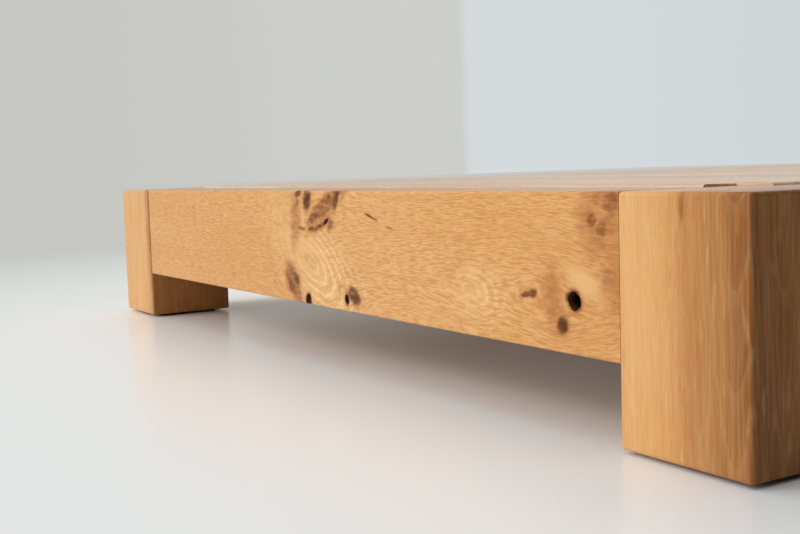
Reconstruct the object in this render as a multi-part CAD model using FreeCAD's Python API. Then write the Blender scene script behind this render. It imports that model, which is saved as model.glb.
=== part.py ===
import FreeCAD, Part
import math
import os

# Low platform bed in knotty oak: block legs, heavy beams between them and a slatted deck inside.
# Millimetres. The origin is on the floor under the middle of the bed, +Y runs from foot to head,
# +X lies to the right of someone who stands at the foot and looks to the head, +Z is up.

# Whole bed
bed_width = 1660.0
bed_length = 2060.0

# Beams
beam_thickness = 110.0
beam_height = 164.0
beam_ease = 2.5  # eased edges
beam_setback = 1.5  # the legs stand this far proud of the beams

# Legs
leg_step = 48.5  # how far a leg stands in past the beams, the seat of the corner angles
leg_height = 246.0
leg_ease = 3.0

# Felt pads under the legs
pad_inset = 20.0
pad_thickness = 4.0
pad_corner = 12.0

# Slats
slat_width = 102.0
slat_thickness = 24.0
slat_edge_radius = 5.0  # upper edges
slat_gap = 20.0  # the least gap, evened out over the deck
slat_proud = 3.0
slat_first_gap = 3.0
slat_end_clearance = 3.0
slat_leg_clearance = 2.0

# Ledgers along the side beams, notched for the slats
ledger_width = 40.0
ledger_height = 45.0
ledger_chamfer = 6.0
ledger_end_clearance = 2.0
notch_depth = 8.0
notch_clearance = 1.0

# Countersunk wood screws of the ledgers
screw_radius = 2.8
screw_tip_share = 0.6
screw_head_radius = 5.5
screw_head_height = 3.6
screw_length = 80.0
ledger_screw_count = 5
ledger_screw_end = 120.0

# Corner angles
angle_steel = 5.0
angle_beam_flange = 70.0
angle_leg_margin = 6.0
angle_edge_margin = 7.0
angle_bend_radius = 4.0
angle_corner = 8.0
angle_beam_hole = 44.0
angle_low_hole = 25.0  # below the middle of the angle
angle_high_hole = 9.0  # above the middle, so that an angle turned over clears its neighbour's screws

# Hexagon-head coach screws of the corner angles
coach_radius = 4.0
coach_tip_share = 0.6
coach_length = 40.0
coach_head_flats = 13.0
coach_head_height = 5.5

# Dowels between beams and legs
dowel_radius = 8.0
dowel_length = 80.0
dowel_spacing = 96.0
dowel_end_room = 2.0

# Centre beam
centre_width = 70.0
centre_height = 100.0
centre_ease = 3.0
centre_end_clearance = 1.0

# Hangers of the centre beam
hanger_steel = 3.0
hanger_depth = 56.0
hanger_height = 80.0
hanger_flange = 34.0
hanger_corner = 6.0
hanger_clearance = 0.5
hanger_screw_shares = (0.25, 0.75)  # heights on a flange
hanger_side_share = 0.5  # height on a cheek

# Pan-head screws of the hangers and the post plates
pan_radius = 2.5
pan_length = 30.0
pan_head_radius = 5.0
pan_head_height = 3.2
pan_tip_share = 0.6

# Posts under the centre beam
post_size = 60.0
post_ease = 3.0
post_place_share = 1 / 6  # of the clear length, to each side of the middle
plate_steel = 4.0
plate_ear = 36.0
plate_margin = 2.0
plate_corner = 8.0
stud_radius = 4.0
stud_depth = 40.0
stud_reach = 8.0

# Levelling feet
foot_felt_radius = 25.0
foot_felt_thickness = 3.0
foot_base_radius = 28.0
foot_base_rim = 4.0
foot_base_height = 8.0
foot_crown_radius = 13.0
foot_shoulder_drop = 1.2  # how far the dome has come down half way to its rim
foot_collar_flats = 17.0
foot_collar_height = 6.0
foot_thread_radius = 5.0
foot_thread_chamfer = 1.0
foot_engagement = 25.0
foot_travel = 12.0  # up and down from rest
foot_top_clearance = 1.0
nut_flats = 17.0
nut_height = 6.0
foot_sleeve_wall = 2.2
foot_sleeve_spare = 3.0

# Fits and cuts
slip_fit = 0.15  # all round a dowel, screw, stud or sleeve in wood
run_fit = 0.35  # all round the thread of a levelling foot
steel_hole_fit = 0.5  # all round a screw in steel
hole_spare = 2.0
cut_overrun = 1.0
length_tolerance = 0.01

# Worked out
full_turn = 360.0
small_sides = 6  # flats on the round parts of fasteners
foot_sides = 24  # flats on the bases of the levelling feet
leg_size = beam_setback + beam_thickness + leg_step
half_width = bed_width / 2
half_length = bed_length / 2
inner_half_width = half_width - beam_setback - beam_thickness
inner_half_length = half_length - beam_setback - beam_thickness
leg_half_width = half_width - leg_size  # inner faces of the legs
leg_half_length = half_length - leg_size
beam_top = pad_thickness + leg_height
beam_bottom = beam_top - beam_height
beam_middle = (beam_top + beam_bottom) / 2
slat_top = beam_top + slat_proud
slat_bottom = slat_top - slat_thickness
ledger_bottom = slat_bottom - ledger_height
deck_run = 2 * inner_half_length - 2 * slat_first_gap
slat_count = int((deck_run + slat_gap) // (slat_width + slat_gap))
slat_pitch = (deck_run - slat_width) / (slat_count - 1)
slat_length = 2 * (inner_half_width - slat_end_clearance)
ledger_half = leg_half_length - ledger_end_clearance
angle_height = ledger_bottom - beam_bottom - 2 * angle_edge_margin
angle_middle = (ledger_bottom + beam_bottom) / 2
angle_leg_flange = leg_step - angle_leg_margin
angle_leg_hole = (angle_steel + angle_leg_flange) / 2
centre_bottom = slat_bottom - centre_height
post_top = centre_bottom - plate_steel
collar_top = foot_felt_thickness + foot_base_height + foot_collar_height
post_bottom = collar_top + foot_travel + foot_top_clearance + nut_height
foot_sleeve_bore = foot_thread_radius + run_fit
foot_sleeve_radius = foot_sleeve_bore + foot_sleeve_wall
foot_sleeve_length = foot_engagement + foot_travel + foot_sleeve_spare
post_offset = 2 * inner_half_length * post_place_share


def vec(x=0.0, y=0.0, z=0.0):
    return FreeCAD.Vector(x, y, z)


right = vec(x=1)
back = vec(y=1)
up = vec(z=1)


def moved(shape, point):
    copy = shape.copy()
    copy.translate(point)
    return copy


def aimed(shape, point, direction):
    """Turns a shape that stands along +Z to a direction and sets its foot on a point."""
    copy = shape.copy()
    copy.Placement = FreeCAD.Placement(point, FreeCAD.Rotation(up, direction))
    return copy


def framed(shape, point, along, inward):
    """Sets a shape into a frame: its X along a beam, its Y into the bed."""
    height = along.cross(inward)
    matrix = FreeCAD.Matrix(
        along.x, inward.x, height.x, point.x,
        along.y, inward.y, height.y, point.y,
        along.z, inward.z, height.z, point.z,
        0, 0, 0, 1)
    copy = shape.copy()
    copy.Placement = FreeCAD.Placement(matrix).multiply(copy.Placement)
    return copy


def polygon_face(points):
    return Part.Face(Part.makePolygon(points + points[:1]))


def clipped_plate(width, depth, thickness, clip):
    """A plate on the XY plane, centred on the origin, with its corners cut off."""
    x = width / 2
    y = depth / 2
    points = [vec(x, y - clip), vec(x - clip, y), vec(clip - x, y), vec(-x, y - clip),
              vec(-x, clip - y), vec(clip - x, -y), vec(x - clip, -y), vec(x, clip - y)]
    return polygon_face(points).extrude(vec(z=thickness))


def eased_bar(length, width, height, ease):
    """A bar along X round the origin, with its long edges eased."""
    bar = clipped_plate(height, width, length, ease)
    bar.translate(vec(z=-length / 2))
    bar.rotate(vec(), back, full_turn / 4)
    return bar


def eased_block(size, height, ease):
    """A square block on the origin with all its edges eased."""
    block = Part.makeBox(size, size, height, vec(-size / 2, -size / 2))
    return block.makeChamfer(ease, block.Edges)


def lathe(profile):
    """Turns an outline of radius and height pairs round Z."""
    return polygon_face([vec(radius, 0, height) for radius, height in profile]).revolve(vec(), up, full_turn)


def ring(radius, height, sides):
    """Corners of a level polygon round Z, by the radius to its flats."""
    reach = radius / math.cos(math.pi / sides)
    turns = [2 * math.pi * side / sides for side in range(sides)]
    return [vec(reach * math.cos(turn), reach * math.sin(turn), height) for turn in turns]


def faceted(stations, sides=small_sides):
    """A solid with flat sides through the given pairs of radius to the flats and height."""
    rings = [ring(radius, height, sides) for radius, height in stations]
    faces = [polygon_face(rings[0]), polygon_face(rings[-1])]
    for low, high in zip(rings, rings[1:]):
        for side in range(sides):
            after = (side + 1) % sides
            faces.append(polygon_face([low[side], low[after], high[after], high[side]]))
    solid = Part.Solid(Part.Shell(faces))
    if solid.Volume < 0:
        solid.reverse()
    return solid


def hole(radius, depth):
    """A cutter that stands on Z = 0 and reaches down, open above."""
    return faceted([(radius, -depth), (radius, cut_overrun)])


# Fasteners, each along Z with the face that it seats on at Z = 0

def shank(radius, tip_share, length, fit=0.0):
    """A tapered shank from Z = 0 down, or with a fit the hole that takes it."""
    return faceted([(radius + fit, 0), (radius * tip_share + fit, -length - fit)])


def countersunk_screw(fit=0.0):
    """Head flush with Z = 0, or with a fit the hole that takes the screw."""
    return faceted([(screw_head_radius + fit, 0), (screw_radius + fit, -screw_head_height),
                    (screw_radius * screw_tip_share + fit, -screw_length - fit)])


def pan_screw():
    rim = (pan_head_radius + pan_radius) / 2
    head = faceted([(pan_head_radius, 0), (rim, pan_head_height)])
    return head.fuse(shank(pan_radius, pan_tip_share, pan_length))


def coach_screw():
    flats = coach_head_flats / 2
    head = faceted([(flats, 0), (flats, coach_head_height)])
    return head.fuse(shank(coach_radius, coach_tip_share, coach_length))


# Corner joints: each beam end has an angle, four coach screws and two dowels

def corner_angle():
    """One steel angle with its bend on the origin, its beam flange along X, its leg flange along Y."""
    inner = angle_steel + angle_bend_radius
    turn = math.sqrt(0.5)
    outer_mid = vec(inner * (1 - turn), inner * (1 - turn))
    inner_mid = vec(inner - angle_bend_radius * turn, inner - angle_bend_radius * turn)
    beam_end = angle_beam_flange
    leg_end = angle_leg_flange
    edges = [
        Part.makeLine(vec(inner, 0), vec(beam_end, 0)),
        Part.makeLine(vec(beam_end, 0), vec(beam_end, angle_steel)),
        Part.makeLine(vec(beam_end, angle_steel), vec(inner, angle_steel)),
        Part.Arc(vec(inner, angle_steel), inner_mid, vec(angle_steel, inner)).toShape(),
        Part.makeLine(vec(angle_steel, inner), vec(angle_steel, leg_end)),
        Part.makeLine(vec(angle_steel, leg_end), vec(0, leg_end)),
        Part.makeLine(vec(0, leg_end), vec(0, inner)),
        Part.Arc(vec(0, inner), outer_mid, vec(inner, 0)).toShape(),
    ]
    angle = Part.Face(Part.Wire(edges)).extrude(vec(z=angle_height))
    angle.translate(vec(z=-angle_height / 2))
    corners = [edge for edge in angle.Edges if abs(edge.Length - angle_steel) < length_tolerance]
    angle = angle.makeChamfer(angle_corner, corners)
    drill = hole(coach_radius + steel_hole_fit, angle_steel + cut_overrun)
    return angle.cut([aimed(drill, *place) for place in angle_screws()])


def angle_screws():
    """Where the screws of an angle seat, and which way their heads face."""
    places = []
    for height in (-angle_low_hole, angle_high_hole):
        places.append((vec(angle_beam_hole, angle_steel, height), back))
        places.append((vec(angle_steel, angle_leg_hole, height), right))
    return places


def corner_joints():
    """Point where beam and leg meet inside, direction along the beam, direction into the bed."""
    joints = {}
    for end, sign_y in (("foot", -1), ("head", 1)):
        for side, sign_x in (("left", -1), ("right", 1)):
            to_middle_x = vec(x=-sign_x)
            to_middle_y = vec(y=-sign_y)
            cross = vec(sign_x * leg_half_width, sign_y * inner_half_length)
            along = vec(sign_x * inner_half_width, sign_y * leg_half_length)
            joints[end, side, end] = (cross, to_middle_x, to_middle_y)
            joints[end, side, side] = (along, to_middle_y, to_middle_x)
    return joints


def joint_parts(joint):
    """The angle, screws and dowels of one joint, and the cutters for the wood."""
    point, along, inward = joint
    at_angle = (point + vec(z=angle_middle), along, inward)
    at_middle = (point + vec(z=beam_middle), along, inward)
    drill = shank(coach_radius, coach_tip_share, coach_length, slip_fit)
    screws = [framed(aimed(coach_screw(), *place), *at_angle) for place in angle_screws()]
    cutters = [framed(aimed(drill, *place), *at_angle) for place in angle_screws()]
    reach = dowel_length / 2
    room = reach + dowel_end_room
    dowels = []
    for height in (-dowel_spacing / 2, dowel_spacing / 2):
        place = vec(0, -beam_thickness / 2, height)
        pin = faceted([(dowel_radius, -reach), (dowel_radius, reach)])
        bore = faceted([(dowel_radius + slip_fit, -room), (dowel_radius + slip_fit, room)])
        dowels.append(framed(aimed(pin, place, right), *at_middle))
        cutters.append(framed(aimed(bore, place, right), *at_middle))
    return {"angle": framed(corner_angle(), *at_angle), "screws": screws, "dowels": dowels, "cutters": cutters}


# Deck

def slat_centres():
    first = -deck_run / 2 + slat_width / 2
    return [first + slat_pitch * index for index in range(slat_count)]


def slat(centre):
    """A board across the bed with its upper edges rounded, notched where it would meet a leg."""
    y = slat_width / 2
    flat = y - slat_edge_radius
    low = slat_top - slat_edge_radius
    turn = slat_edge_radius * math.sqrt(0.5)
    edges = [
        Part.makeLine(vec(0, -y, slat_bottom), vec(0, y, slat_bottom)),
        Part.makeLine(vec(0, y, slat_bottom), vec(0, y, low)),
        Part.Arc(vec(0, y, low), vec(0, flat + turn, low + turn), vec(0, flat, slat_top)).toShape(),
        Part.makeLine(vec(0, flat, slat_top), vec(0, -flat, slat_top)),
        Part.Arc(vec(0, -flat, slat_top), vec(0, -flat - turn, low + turn), vec(0, -y, low)).toShape(),
        Part.makeLine(vec(0, -y, low), vec(0, -y, slat_bottom)),
    ]
    board = Part.Face(Part.Wire(edges)).extrude(vec(x=slat_length))
    board.translate(vec(-slat_length / 2, centre))
    notch_x = leg_half_width - slat_leg_clearance
    notch_y = leg_half_length - slat_leg_clearance
    cutters = []
    for sign_x in (-1, 1):
        for sign_y in (-1, 1):
            middle = vec(sign_x * (notch_x + leg_size / 2), sign_y * (notch_y + leg_size / 2), slat_bottom)
            corner = middle - vec(leg_size / 2, leg_size / 2, slat_thickness / 2)
            cutters.append(Part.makeBox(leg_size, leg_size, 2 * slat_thickness, corner))
    return board.cut(cutters)


def ledger_screw_places(sign_x):
    first = ledger_screw_end - ledger_half
    step = -2 * first / (ledger_screw_count - 1)
    face = sign_x * (inner_half_width - ledger_width)
    return [vec(face, first + step * index, slat_bottom - ledger_height / 2)
            for index in range(ledger_screw_count)]


def ledger(sign_x):
    """A strip on the inner face of a side beam, its lower inner edge chamfered, with a notch for each slat."""
    outline = [vec(z=notch_depth), vec(z=-ledger_height), vec(ledger_chamfer - ledger_width, 0, -ledger_height),
               vec(-ledger_width, 0, ledger_chamfer - ledger_height), vec(-ledger_width, 0, notch_depth)]
    strip = polygon_face(outline).extrude(vec(y=2 * ledger_half))
    if sign_x < 0:
        strip.rotate(vec(y=ledger_half), up, full_turn / 2)
    strip.translate(vec(sign_x * inner_half_width, -ledger_half, slat_bottom))
    notch_width = slat_width + 2 * notch_clearance
    notch = Part.makeBox(2 * inner_half_width, notch_width, notch_depth + cut_overrun)
    corner = vec(-inner_half_width, -notch_width / 2, slat_bottom)
    return strip.cut([moved(notch, corner + vec(y=centre)) for centre in slat_centres()])


# Centre beam, hangers and supports

def hanger():
    """A steel saddle for the end of the centre beam, open at the top, with a flange on each side.

    It stands with its back at Y = 0 and the seat of the beam at Z = 0.
    """
    clear = centre_width + 2 * hanger_clearance
    outer = clear + 2 * hanger_steel
    full = outer + 2 * hanger_flange
    height = hanger_height + hanger_steel
    flange = clipped_plate(full, height, hanger_steel, hanger_corner)
    flange.rotate(vec(), right, full_turn / 4)
    flange.translate(vec(0, hanger_steel, height / 2 - hanger_steel))
    cheeks = Part.makeBox(outer, hanger_depth, height, vec(-outer / 2, 0, -hanger_steel))
    inside = Part.makeBox(clear, hanger_depth + 2 * cut_overrun, height, vec(-clear / 2, -cut_overrun, 0))
    drill = hole(pan_radius + steel_hole_fit, hanger_steel + cut_overrun)
    body = flange.fuse(cheeks).cut(inside).removeSplitter()
    return body.cut([aimed(drill, *place) for place in hanger_screws()])


def hanger_screws():
    face = centre_width / 2 + hanger_clearance + hanger_steel
    places = []
    for sign in (-1, 1):
        for share in hanger_screw_shares:
            places.append((vec(sign * (face + hanger_flange / 2), hanger_steel, hanger_height * share), back))
        side = vec(sign * face, (hanger_depth + hanger_steel) / 2, hanger_height * hanger_side_share)
        places.append((side, vec(x=sign)))
    return places


def post_plate():
    """Stands on the post, centred on the origin, with an ear in front and behind."""
    width = centre_width - 2 * plate_margin
    plate = clipped_plate(width, post_size + 2 * plate_ear, plate_steel, plate_corner)
    drill = hole(pan_radius + steel_hole_fit, plate_steel + cut_overrun)
    cutters = [moved(drill, place + vec(z=plate_steel)) for place in plate_screws()]
    cutters.append(moved(hole(stud_radius + slip_fit, plate_steel + cut_overrun), vec(z=plate_steel)))
    return plate.cut(cutters)


def plate_screws():
    ear = (post_size + plate_ear) / 2
    return [vec(y=-ear), vec(y=ear)]


def stud(fit=0.0, spare=0.0):
    """A pin from the post through its plate into the centre beam, or with a fit the hole that takes it."""
    low = post_top - stud_depth - spare
    high = centre_bottom + stud_reach + spare
    return faceted([(stud_radius + fit, low), (stud_radius + fit, high)])


def post():
    height = post_top - post_bottom
    block = moved(eased_block(post_size, height, post_ease), vec(z=post_bottom))
    bore = Part.makeCylinder(foot_sleeve_radius + slip_fit, foot_sleeve_length + hole_spare, vec(z=post_bottom))
    return block.cut([bore, stud(slip_fit, hole_spare)])


def foot_sleeve():
    return lathe([(foot_sleeve_bore, 0), (foot_sleeve_radius, 0),
                  (foot_sleeve_radius, foot_sleeve_length), (foot_sleeve_bore, foot_sleeve_length)])


def levelling_foot():
    """A domed base, a collar for a spanner and a threaded rod, standing on its felt."""
    base_top = foot_felt_thickness + foot_base_height
    rod_top = post_bottom + foot_engagement
    shoulder = (foot_base_radius + foot_crown_radius) / 2
    shoulder_height = base_top - foot_shoulder_drop
    base = faceted([(foot_base_radius, foot_felt_thickness), (foot_base_radius, foot_felt_thickness + foot_base_rim),
                    (shoulder, shoulder_height), (foot_crown_radius, base_top)], foot_sides)
    flats = foot_collar_flats / 2
    collar = faceted([(flats, base_top), (flats, collar_top)])
    tip = foot_thread_radius - foot_thread_chamfer
    rod = lathe([(0, base_top), (foot_thread_radius, base_top), (foot_thread_radius, rod_top - foot_thread_chamfer),
                 (tip, rod_top), (0, rod_top)])
    return base.fuse([collar, rod]).removeSplitter()


def foot_felt():
    return faceted([(foot_felt_radius, 0), (foot_felt_radius, foot_felt_thickness)], foot_sides)


def jam_nut():
    flats = nut_flats / 2
    nut = faceted([(flats, post_bottom - nut_height), (flats, post_bottom)])
    bore = Part.makeCylinder(foot_sleeve_bore, nut_height + 2 * cut_overrun,
                             vec(z=post_bottom - nut_height - cut_overrun))
    return nut.cut(bore)


# Assembly

nodes = {}
coach_screws = []
dowels = []
wood_cutters = {}
for (end, side, beam), joint in corner_joints().items():
    parts = joint_parts(joint)
    nodes[f"corner_angle_{end}_{side}_on_{beam}_beam"] = parts["angle"]
    coach_screws += parts["screws"]
    dowels += parts["dowels"]
    for piece in (f"leg_{end}_{side}", f"{beam}_beam"):
        wood_cutters.setdefault(piece, []).extend(parts["cutters"])

pad_side = leg_size - 2 * pad_inset
for end, sign_y in (("foot", -1), ("head", 1)):
    for side, sign_x in (("left", -1), ("right", 1)):
        foot = vec(sign_x * (half_width - leg_size / 2), sign_y * (half_length - leg_size / 2))
        block = moved(eased_block(leg_size, leg_height, leg_ease), foot + vec(z=pad_thickness))
        nodes[f"leg_{end}_{side}"] = block.cut(wood_cutters[f"leg_{end}_{side}"])
        nodes[f"pad_{end}_{side}"] = moved(clipped_plate(pad_side, pad_side, pad_thickness, pad_corner), foot)

for number, centre in enumerate(slat_centres(), start=1):
    nodes[f"slat_{number:02d}"] = slat(centre)

ledger_screws = []
for side, sign_x in (("left", -1), ("right", 1)):
    inward = vec(x=-sign_x)
    places = ledger_screw_places(sign_x)
    holes = [aimed(countersunk_screw(slip_fit), place, inward) for place in places]
    ledger_screws += [aimed(countersunk_screw(), place, inward) for place in places]
    nodes[f"{side}_ledger"] = ledger(sign_x).cut(holes)
    bar = eased_bar(2 * leg_half_length, beam_thickness, beam_height, beam_ease)
    bar.rotate(vec(), up, full_turn / 4)
    bar.translate(vec(sign_x * (inner_half_width + beam_thickness / 2), 0, beam_middle))
    nodes[f"{side}_beam"] = bar.cut(wood_cutters[f"{side}_beam"] + holes)

pan_screws = []
centre_cutters = []
pan_hole = shank(pan_radius, pan_tip_share, pan_length, slip_fit)
for end, sign_y in (("foot", -1), ("head", 1)):
    seat = vec(0, sign_y * inner_half_length, centre_bottom)
    frame = (seat, vec(x=-sign_y), vec(y=-sign_y))
    nodes[f"centre_hanger_{end}"] = framed(hanger(), *frame)
    pilots = [framed(aimed(pan_hole, *place), *frame) for place in hanger_screws()]
    pan_screws += [framed(aimed(pan_screw(), *place), *frame) for place in hanger_screws()]
    centre_cutters += pilots
    bar = eased_bar(2 * leg_half_width, beam_thickness, beam_height, beam_ease)
    bar.translate(vec(0, sign_y * (inner_half_length + beam_thickness / 2), beam_middle))
    nodes[f"{end}_beam"] = bar.cut(wood_cutters[f"{end}_beam"] + pilots)

studs = []
foot_sleeves = []
jam_nuts = []
for end, sign_y in (("foot", -1), ("head", 1)):
    place = vec(y=sign_y * post_offset)
    nodes[f"centre_post_{end}"] = moved(post(), place)
    nodes[f"post_plate_{end}"] = moved(post_plate(), place + vec(z=post_top))
    nodes[f"levelling_foot_{end}"] = moved(levelling_foot(), place)
    nodes[f"foot_felt_{end}"] = moved(foot_felt(), place)
    studs.append(moved(stud(), place))
    foot_sleeves.append(moved(foot_sleeve(), place + vec(z=post_bottom)))
    jam_nuts.append(moved(jam_nut(), place))
    below = [place + screw + vec(z=post_top) for screw in plate_screws()]
    pan_screws += [aimed(pan_screw(), point, vec(z=-1)) for point in below]
    centre_cutters += [aimed(pan_hole, point, vec(z=-1)) for point in below]
    centre_cutters.append(moved(stud(slip_fit, hole_spare), place))

centre_length = 2 * (inner_half_length - centre_end_clearance)
centre = eased_bar(centre_length, centre_width, centre_height, centre_ease)
centre.rotate(vec(), up, full_turn / 4)
centre.translate(vec(z=centre_bottom + centre_height / 2))
nodes["centre_beam"] = centre.cut(centre_cutters)

nodes["coach_screws"] = Part.makeCompound(coach_screws)
nodes["beam_dowels"] = Part.makeCompound(dowels)
nodes["ledger_screws"] = Part.makeCompound(ledger_screws)
nodes["pan_screws"] = Part.makeCompound(pan_screws)
nodes["post_studs"] = Part.makeCompound(studs)
nodes["foot_sleeves"] = Part.makeCompound(foot_sleeves)
nodes["jam_nuts"] = Part.makeCompound(jam_nuts)

os.makedirs("parts", exist_ok=True)
for name, shape in nodes.items():
    shape.exportStep(f"parts/{name}.step")
print(len(nodes), "nodes,", slat_count, "slats", round(slat_pitch - slat_width, 2), "apart")
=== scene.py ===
import math
import random

import bmesh
import bpy
from mathutils import Matrix, Vector, noise


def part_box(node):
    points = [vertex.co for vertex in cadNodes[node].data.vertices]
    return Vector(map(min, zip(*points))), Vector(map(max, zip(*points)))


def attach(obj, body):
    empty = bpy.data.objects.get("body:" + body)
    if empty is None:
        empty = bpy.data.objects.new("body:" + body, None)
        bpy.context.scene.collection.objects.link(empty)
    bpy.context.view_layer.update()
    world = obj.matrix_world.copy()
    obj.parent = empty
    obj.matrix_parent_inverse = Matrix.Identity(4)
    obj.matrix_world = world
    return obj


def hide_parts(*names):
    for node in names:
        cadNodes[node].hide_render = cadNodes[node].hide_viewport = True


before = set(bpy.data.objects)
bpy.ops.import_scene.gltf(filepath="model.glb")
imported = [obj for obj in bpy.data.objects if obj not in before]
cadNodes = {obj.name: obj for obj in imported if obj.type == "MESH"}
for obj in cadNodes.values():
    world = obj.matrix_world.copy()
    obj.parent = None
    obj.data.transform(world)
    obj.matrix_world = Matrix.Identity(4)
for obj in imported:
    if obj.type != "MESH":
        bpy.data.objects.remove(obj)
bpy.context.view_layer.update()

scene = bpy.context.scene
scene.view_settings.view_transform = "Standard"
print("frame loaded,", len(cadNodes), "nodes")


# colours and small node helpers

def srgb(red, green, blue):
    channels = []
    for value in (red, green, blue):
        share = value / 255
        channels.append(share / 12.92 if share <= 0.04045 else ((share + 0.055) / 1.055) ** 2.4)
    return (*channels, 1.0)


def newMaterial(name):
    material = bpy.data.materials.new(name)
    material.use_nodes = True
    material.node_tree.nodes.clear()
    return material, material.node_tree


def feed(tree, socket, value):
    if isinstance(value, bpy.types.NodeSocket):
        tree.links.new(value, socket)
    else:
        socket.default_value = value


def feedAll(tree, node, values):
    for key, value in values.items():
        feed(tree, node.inputs[key], value)


def addNode(tree, kind, *values, **settings):  # values go to the first sockets, in their order
    node = tree.nodes.new(kind)
    for key, setting in settings.items():
        setattr(node, key, setting)
    for socket, value in zip(node.inputs, values):
        feed(tree, socket, value)
    return node


def calc(tree, operation, *values):
    return addNode(tree, "ShaderNodeMath", *values, operation=operation).outputs[0]


def addUp(tree, first, *others):
    for value in others:
        first = calc(tree, "ADD", first, value)
    return first


def product(tree, first, *others):
    for value in others:
        first = calc(tree, "MULTIPLY", first, value)
    return first


def minus(tree, first, second):
    return calc(tree, "SUBTRACT", first, second)


def scaled(tree, value, factor, shift):
    return calc(tree, "MULTIPLY_ADD", value, factor, shift)


def hypotenuse(tree, first, second):
    return calc(tree, "SQRT", addUp(tree, calc(tree, "POWER", first, 2.0), calc(tree, "POWER", second, 2.0)))


def span(tree, value, low, high, atLow=0.0, atHigh=1.0):  # smooth step from low to high, held outside
    node = addNode(tree, "ShaderNodeMapRange", value, low, high, atLow, atHigh,
                   interpolation_type="SMOOTHSTEP")
    return node.outputs[0]


def tint(tree, share, under, over):
    node = addNode(tree, "ShaderNodeMix", share, data_type="RGBA")
    feedAll(tree, node, {6: under, 7: over})  # its two colour sockets
    return node.outputs[2]


def triple(tree, along, across, into):
    return addNode(tree, "ShaderNodeCombineXYZ", along, across, into).outputs[0]


def grainNoise(tree, vector, scale, detail=2.0, roughness=0.5, shift=(0.0, 0.0, 0.0)):
    stretch = addNode(tree, "ShaderNodeVectorMath", vector, scale, shift, operation="MULTIPLY_ADD")
    node = addNode(tree, "ShaderNodeTexNoise")
    feedAll(tree, node, {"Vector": stretch.outputs[0], "Scale": 1.0, "Detail": detail,
                         "Roughness": roughness})
    return node.outputs[0]


def lineNoise(tree, value, detail=1.0):
    node = addNode(tree, "ShaderNodeTexNoise", noise_dimensions="1D")
    feedAll(tree, node, {"W": value, "Scale": 1.0, "Detail": detail})
    return node.outputs[0]


def restCoords(tree):
    coords = addNode(tree, "ShaderNodeTexCoord").outputs["Object"]
    return coords, addNode(tree, "ShaderNodeSeparateXYZ", coords).outputs


def finishShader(tree, colour, roughness, height, bump, extra=None):  # bump: its depth and strength
    depth, strength = bump
    bumpNode = addNode(tree, "ShaderNodeBump")
    feedAll(tree, bumpNode, {"Strength": strength, "Distance": depth, "Height": height})
    shader = addNode(tree, "ShaderNodeBsdfPrincipled")
    feedAll(tree, shader, {"Base Color": colour, "Roughness": roughness, "Normal": bumpNode.outputs[0],
                           **(extra or {})})
    addNode(tree, "ShaderNodeOutputMaterial", shader.outputs[0])


# camera, low at the foot end beside the near leg

cameraView = {"place": (1.46517, -1.75029, 0.27854), "yaw": -58.85, "pitch": -5.05, "roll": 1.8,
              "lens": 50.56, "sensor": 36.0, "clipFrom": 0.02}


def makeCamera(view):
    yaw, pitch, roll = (math.radians(view[key]) for key in ("yaw", "pitch", "roll"))
    forward = Vector((math.cos(pitch) * math.sin(yaw), math.cos(pitch) * math.cos(yaw), math.sin(pitch)))
    level = Vector((math.cos(yaw), -math.sin(yaw), 0))
    down = forward.cross(level)
    rightward = level * math.cos(roll) + down * math.sin(roll)
    downward = down * math.cos(roll) - level * math.sin(roll)
    turn = Matrix((rightward, -downward, -forward)).transposed().to_4x4()
    turn.translation = Vector(view["place"])
    data = bpy.data.cameras.new("lowCamera")
    data.lens = view["lens"]
    data.sensor_width = view["sensor"]
    data.clip_start = view["clipFrom"]
    camera = bpy.data.objects.new("lowCamera", data)
    camera.matrix_world = turn
    scene.collection.objects.link(camera)
    scene.camera = camera


makeCamera(cameraView)


# pale studio: a coated floor that fades into two pale walls, one big soft lamp,
# and world light that comes from above and from the front left

studio = {"floorColour": srgb(246, 248, 252), "floorRoughness": 0.24, "floorIor": 1.36, "floorHalf": 30.0,
          "fadeFrom": 1.3, "fadeTo": 3.1, "wallLeft": srgb(205, 206, 201), "wallRight": srgb(213, 218, 220),
          "cornerTurn": -55.3, "cornerSoft": 0.006, "wallDim": 0.07, "wallDimFrom": 0.05, "wallDimTo": 0.4,
          "lightWay": (-0.6, -0.36, 0.75), "lightFull": 0.95, "worldBright": 1.9, "worldDim": 0.04,
          "mirrorFrom": -0.1, "mirrorTo": 0.5, "mirrorDim": 0.1}
softKey = {"place": (-2.2, -8.2, 3.6), "aim": (0.0, -0.8, 0.1), "size": (6.5, 5.5), "power": 352.0}


def makeFloor():
    half = studio["floorHalf"]
    mesh = bpy.data.meshes.new("floor")
    corners = [(-half, -half, 0), (half, -half, 0), (half, half, 0), (-half, half, 0)]
    mesh.from_pydata(corners, [], [(0, 1, 2, 3)])
    floor = bpy.data.objects.new("floor", mesh)
    scene.collection.objects.link(floor)
    material, tree = newMaterial("paleFloor")
    coords, _ = restCoords(tree)
    coat = addNode(tree, "ShaderNodeBsdfPrincipled")
    feedAll(tree, coat, {"Base Color": studio["floorColour"], "Roughness": studio["floorRoughness"],
                         "IOR": studio["floorIor"]})
    length = addNode(tree, "ShaderNodeVectorMath", coords, operation="LENGTH")
    far = span(tree, length.outputs["Value"], studio["fadeFrom"], studio["fadeTo"])
    glow = addNode(tree, "ShaderNodeEmission", studio["wallLeft"], 1.0 - studio["wallDim"])
    path = addNode(tree, "ShaderNodeLightPath").outputs
    seen = calc(tree, "MAXIMUM", path["Is Camera Ray"], path["Is Glossy Ray"])
    mix = addNode(tree, "ShaderNodeMixShader", product(tree, far, seen), coat.outputs[0], glow.outputs[0])
    addNode(tree, "ShaderNodeOutputMaterial", mix.outputs[0])
    mesh.materials.append(material)


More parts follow.
